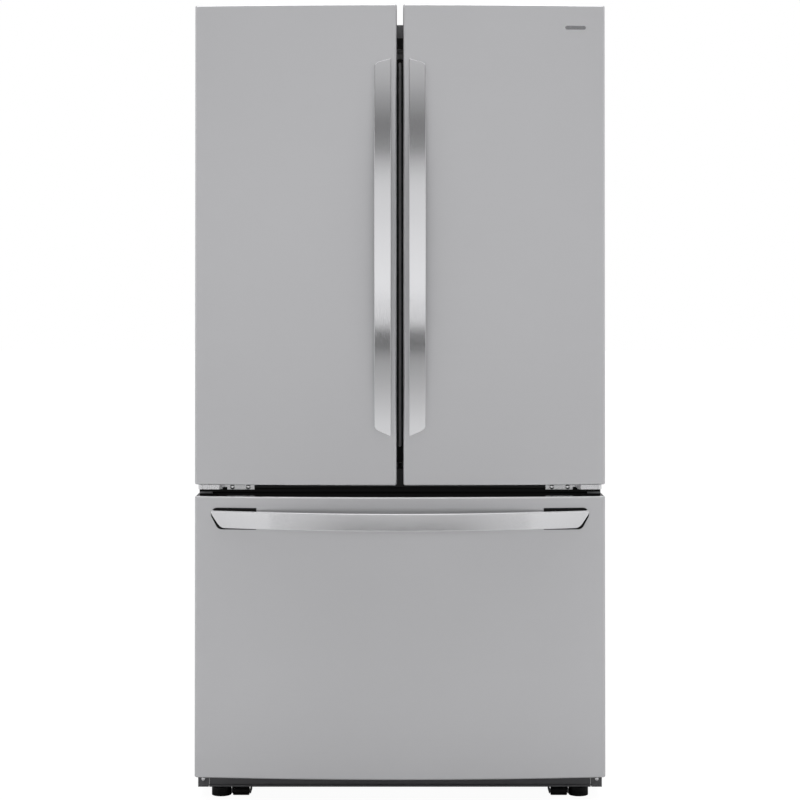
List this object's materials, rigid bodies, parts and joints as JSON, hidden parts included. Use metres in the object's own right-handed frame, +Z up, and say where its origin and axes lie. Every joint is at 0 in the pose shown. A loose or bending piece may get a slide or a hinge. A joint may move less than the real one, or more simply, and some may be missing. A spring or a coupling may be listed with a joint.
{
  "type": "french door refrigerator",
  "caption": "Free-standing stainless steel refrigerator with french doors over a pull-out freezer drawer, bowed bar handles, glass shelves, crispers and door bins.",
  "frame": {"origin": "on the floor, under the middle of the whole object's bounding box at rest", "axes": "+X to the right-hand side of the front, +Y to the back, +Z up; the doors and the drawer face -Y"},
  "size_m": [0.908, 0.921, 1.768],
  "materials": {
    "case_paint": "satin grey paint",
    "stainless": "fine horizontal brushing",
    "handle_steel": "polished stainless steel",
    "white_plastic": "smooth white vacuum-formed plastic",
    "foam": "rigid closed-cell foam",
    "gasket": "flexible magnetic seal",
    "dark_cap": "fine matt grain",
    "gloss_black": "gloss black",
    "trim_grey": "satin grey",
    "clear_plastic": "clear plastic",
    "glass": "tempered glass",
    "frame_grey": "satin light grey",
    "basket_plastic": "semi-clear white plastic",
    "zinc_steel": "zinc-plated steel",
    "bright_screw": "bright plated",
    "kick_paint": "satin dark grey",
    "aluminium": "bare aluminium",
    "copper": "drawn copper",
    "compressor_paint": "gloss black enamel",
    "black_plastic": "moulded black"
  },
  "bodies": {
    "cabinet": {"back_panel": "case_paint", "base_frame": "case_paint", "cabinet_foam": "foam", "cabinet_screws": "bright_screw", "centre_rail": "gloss_black", "compressor": "compressor_paint", "condenser": "aluminium", "control_panel": "white_plastic", "drain_pan": "black_plastic", "evaporator": "aluminium", "evaporator_cover": "white_plastic", "freezer_liner": "white_plastic", "freezer_rails_outer": "zinc_steel", "fresh_food_liner": "white_plastic", "glass_shelves": "glass", "hinge_covers": "case_paint", "kick_plate": "kick_paint", "machine_cover": "zinc_steel", "middle_hinges": "zinc_steel", "outer_case": "case_paint", "power_inlet": "black_plastic", "refrigerant_tubes": "copper", "shelf_frames": "frame_grey", "top_hinges": "zinc_steel"},
    "left_door": {"left_door_skin": "stainless", "left_door_caps": "dark_cap", "left_door_foam": "foam", "left_door_liner": "white_plastic", "left_door_gasket": "gasket", "left_door_handle": "handle_steel", "left_door_bins": "clear_plastic"},
    "right_door": {"right_door_skin": "stainless", "right_door_caps": "dark_cap", "right_door_foam": "foam", "right_door_liner": "white_plastic", "right_door_gasket": "gasket", "right_door_handle": "handle_steel", "right_door_bins": "clear_plastic"},
    "mullion": {"mullion_flap": "gloss_black", "mullion_trim_strip": "trim_grey"},
    "freezer_drawer": {"drawer_skin": "stainless", "drawer_caps": "gloss_black", "drawer_foam": "foam", "drawer_liner": "white_plastic", "drawer_gasket": "gasket", "drawer_handle": "handle_steel", "drawer_handle_gaskets": "black_plastic", "drawer_basket": "basket_plastic", "freezer_rails_inner": "zinc_steel"},
    "freezer_rail_middle": {"freezer_rails_middle": "zinc_steel"},
    "freezer_tray": {"freezer_tray": "white_plastic"},
    "left_crisper": {"left_crisper": "clear_plastic"},
    "right_crisper": {"right_crisper": "clear_plastic"},
    "pantry_drawer": {"pantry_drawer": "clear_plastic"},
    "evaporator_fan": {"evaporator_fan": "black_plastic"},
    "condenser_fan": {"condenser_fan": "black_plastic"},
    "front_rollers": {"front_rollers": "black_plastic"},
    "rear_rollers": {"rear_rollers": "black_plastic"},
    "left_leg": {"left_levelling_leg": "black_plastic"},
    "right_leg": {"right_levelling_leg": "black_plastic"}
  },
  "joints": [
    {"name": "left_door_hinge", "type": "hinge", "parent": "cabinet", "child": "left_door", "pos_m": [-0.432, -0.332, 0], "axis": [0, 0, -1], "range_deg": [0, 130]},
    {"name": "right_door_hinge", "type": "hinge", "parent": "cabinet", "child": "right_door", "pos_m": [0.432, -0.332, 0], "axis": [0, 0, 1], "range_deg": [0, 130]},
    {"name": "mullion_fold", "type": "hinge", "parent": "left_door", "child": "mullion", "pos_m": [-0.04, -0.274, 0], "axis": [0, 0, 1], "range_deg": [0, 88]},
    {"name": "freezer_drawer_slide", "type": "slide", "parent": "cabinet", "child": "freezer_drawer", "axis": [0, -1, 0], "range_m": [0, 0.42]},
    {"name": "freezer_rail_slide", "type": "slide", "parent": "cabinet", "child": "freezer_rail_middle", "axis": [0, -1, 0], "range_m": [0, 0.21]},
    {"name": "freezer_tray_slide", "type": "slide", "parent": "freezer_drawer", "child": "freezer_tray", "axis": [0, 1, 0], "range_m": [0, 0.16]},
    {"name": "left_crisper_slide", "type": "slide", "parent": "cabinet", "child": "left_crisper", "axis": [0, -1, 0], "range_m": [0, 0.08]},
    {"name": "right_crisper_slide", "type": "slide", "parent": "cabinet", "child": "right_crisper", "axis": [0, -1, 0], "range_m": [0, 0.08]},
    {"name": "pantry_drawer_slide", "type": "slide", "parent": "cabinet", "child": "pantry_drawer", "axis": [0, -1, 0], "range_m": [0, 0.08]},
    {"name": "evaporator_fan_spin", "type": "hinge", "parent": "cabinet", "child": "evaporator_fan", "pos_m": [0, 0.363, 0.585], "axis": [0, 1, 0], "continuous": true},
    {"name": "condenser_fan_spin", "type": "hinge", "parent": "cabinet", "child": "condenser_fan", "pos_m": [-0.07, 0.345, 0.15], "axis": [1, 0, 0], "continuous": true},
    {"name": "front_roller_spin", "type": "hinge", "parent": "cabinet", "child": "front_rollers", "pos_m": [0, -0.287, 0.0103], "axis": [1, 0, 0], "continuous": true},
    {"name": "rear_roller_spin", "type": "hinge", "parent": "cabinet", "child": "rear_rollers", "pos_m": [0, 0.415, 0.022], "axis": [1, 0, 0], "continuous": true},
    {"name": "left_leg_turn", "type": "hinge", "parent": "cabinet", "child": "left_leg", "pos_m": [-0.402, -0.276, 0], "axis": [0, 0, 1], "continuous": true},
    {"name": "right_leg_turn", "type": "hinge", "parent": "cabinet", "child": "right_leg", "pos_m": [0.402, -0.276, 0], "axis": [0, 0, 1], "continuous": true}
  ],
  "couplings": [
    {"joint": "freezer_rail_slide", "follows": "freezer_drawer_slide", "ratio": 0.5}
  ]
}
